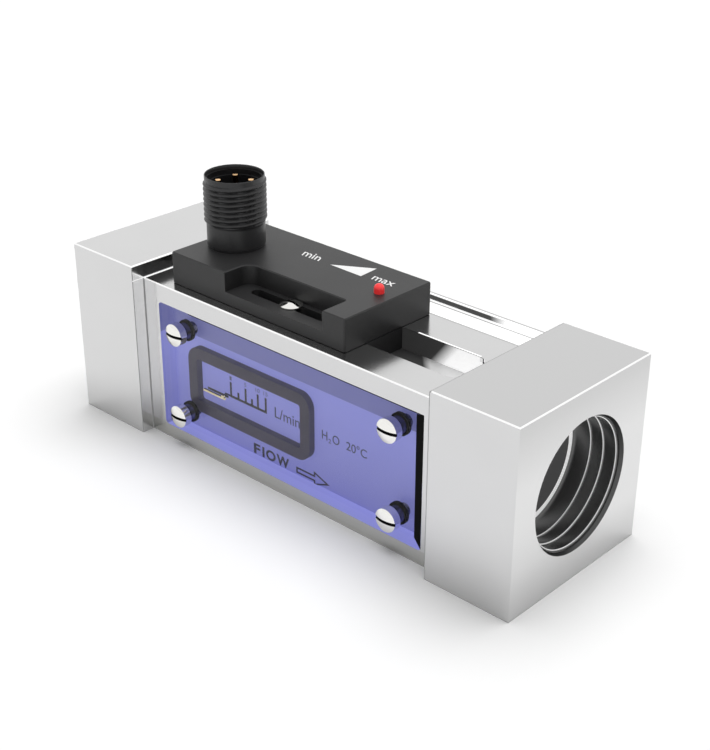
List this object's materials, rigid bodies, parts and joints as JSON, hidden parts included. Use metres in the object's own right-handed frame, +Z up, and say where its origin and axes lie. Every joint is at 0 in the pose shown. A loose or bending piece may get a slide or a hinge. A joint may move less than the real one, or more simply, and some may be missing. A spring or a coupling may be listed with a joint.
{
  "type": "piston flow switch",
  "caption": "Square milled bar with a pipe port in each end, a screwed clear window over a pointer, and a sliding switch head with a round threaded plug connector.",
  "frame": {"origin": "middle of the underside of the bar", "axes": "+X is the flow direction from inlet to outlet, -Y is the window side, +Z is up through the switch head"},
  "size_m": [0.1106, 0.036, 0.0535],
  "materials": {
    "bar_metal": "fine milled, satin",
    "window": "clear, blue tinted",
    "gasket_rubber": "matte",
    "brass": "turned",
    "spring_steel": "bright",
    "magnet": "matte",
    "pointer_paint": "satin",
    "housing_plastic": "fine moulded grain",
    "sleeve_black": "matte",
    "carrier_black": "matte",
    "capsule_glass": "clear",
    "board": "varnished",
    "lamp_red": "clear red",
    "screw_steel": "bright turned",
    "screw_chrome": "polished",
    "contact_gold": "gilt"
  },
  "bodies": {
    "body": {"body_block": "bar_metal", "window_plate": "window", "window_gasket": "gasket_rubber", "cover_screw_1": "screw_steel", "cover_screw_2": "screw_steel", "cover_screw_3": "screw_steel", "cover_screw_4": "screw_steel", "stop_ring": "brass", "spring_seat": "brass", "retaining_ring": "spring_steel", "return_spring": "spring_steel"},
    "piston": {"piston": "brass", "piston_magnet": "magnet", "magnet_cap": "brass", "pointer": "pointer_paint"},
    "switch_head": {"housing_shell": "housing_plastic", "base_slider": "housing_plastic", "reed_switch": "capsule_glass", "circuit_board": "board", "lamp": "lamp_red", "connector_seal": "gasket_rubber", "connector_sleeve": "sleeve_black", "contact_carrier": "carrier_black", "contact_pin_1": "contact_gold", "contact_pin_2": "contact_gold", "contact_pin_3": "contact_gold", "contact_pin_4": "contact_gold"},
    "lock_screw": {"lock_screw": "screw_chrome"}
  },
  "joints": [
    {"name": "piston_slide", "type": "slide", "parent": "body", "child": "piston", "axis": [1, 0, 0], "range_m": [0, 0.0103], "stiffness_N_per_m": 150, "springref_m": -0.004, "deforming": ["return_spring"]},
    {"name": "switch_slide", "type": "slide", "parent": "body", "child": "switch_head", "axis": [1, 0, 0], "range_m": [-0.006, 0.0088]},
    {"name": "lock_screw_turn", "type": "hinge", "parent": "body", "child": "lock_screw", "pos_m": [-0.003, -0.00905, 0.034], "axis": [0, 0, 1], "range_deg": [0, 360]}
  ]
}
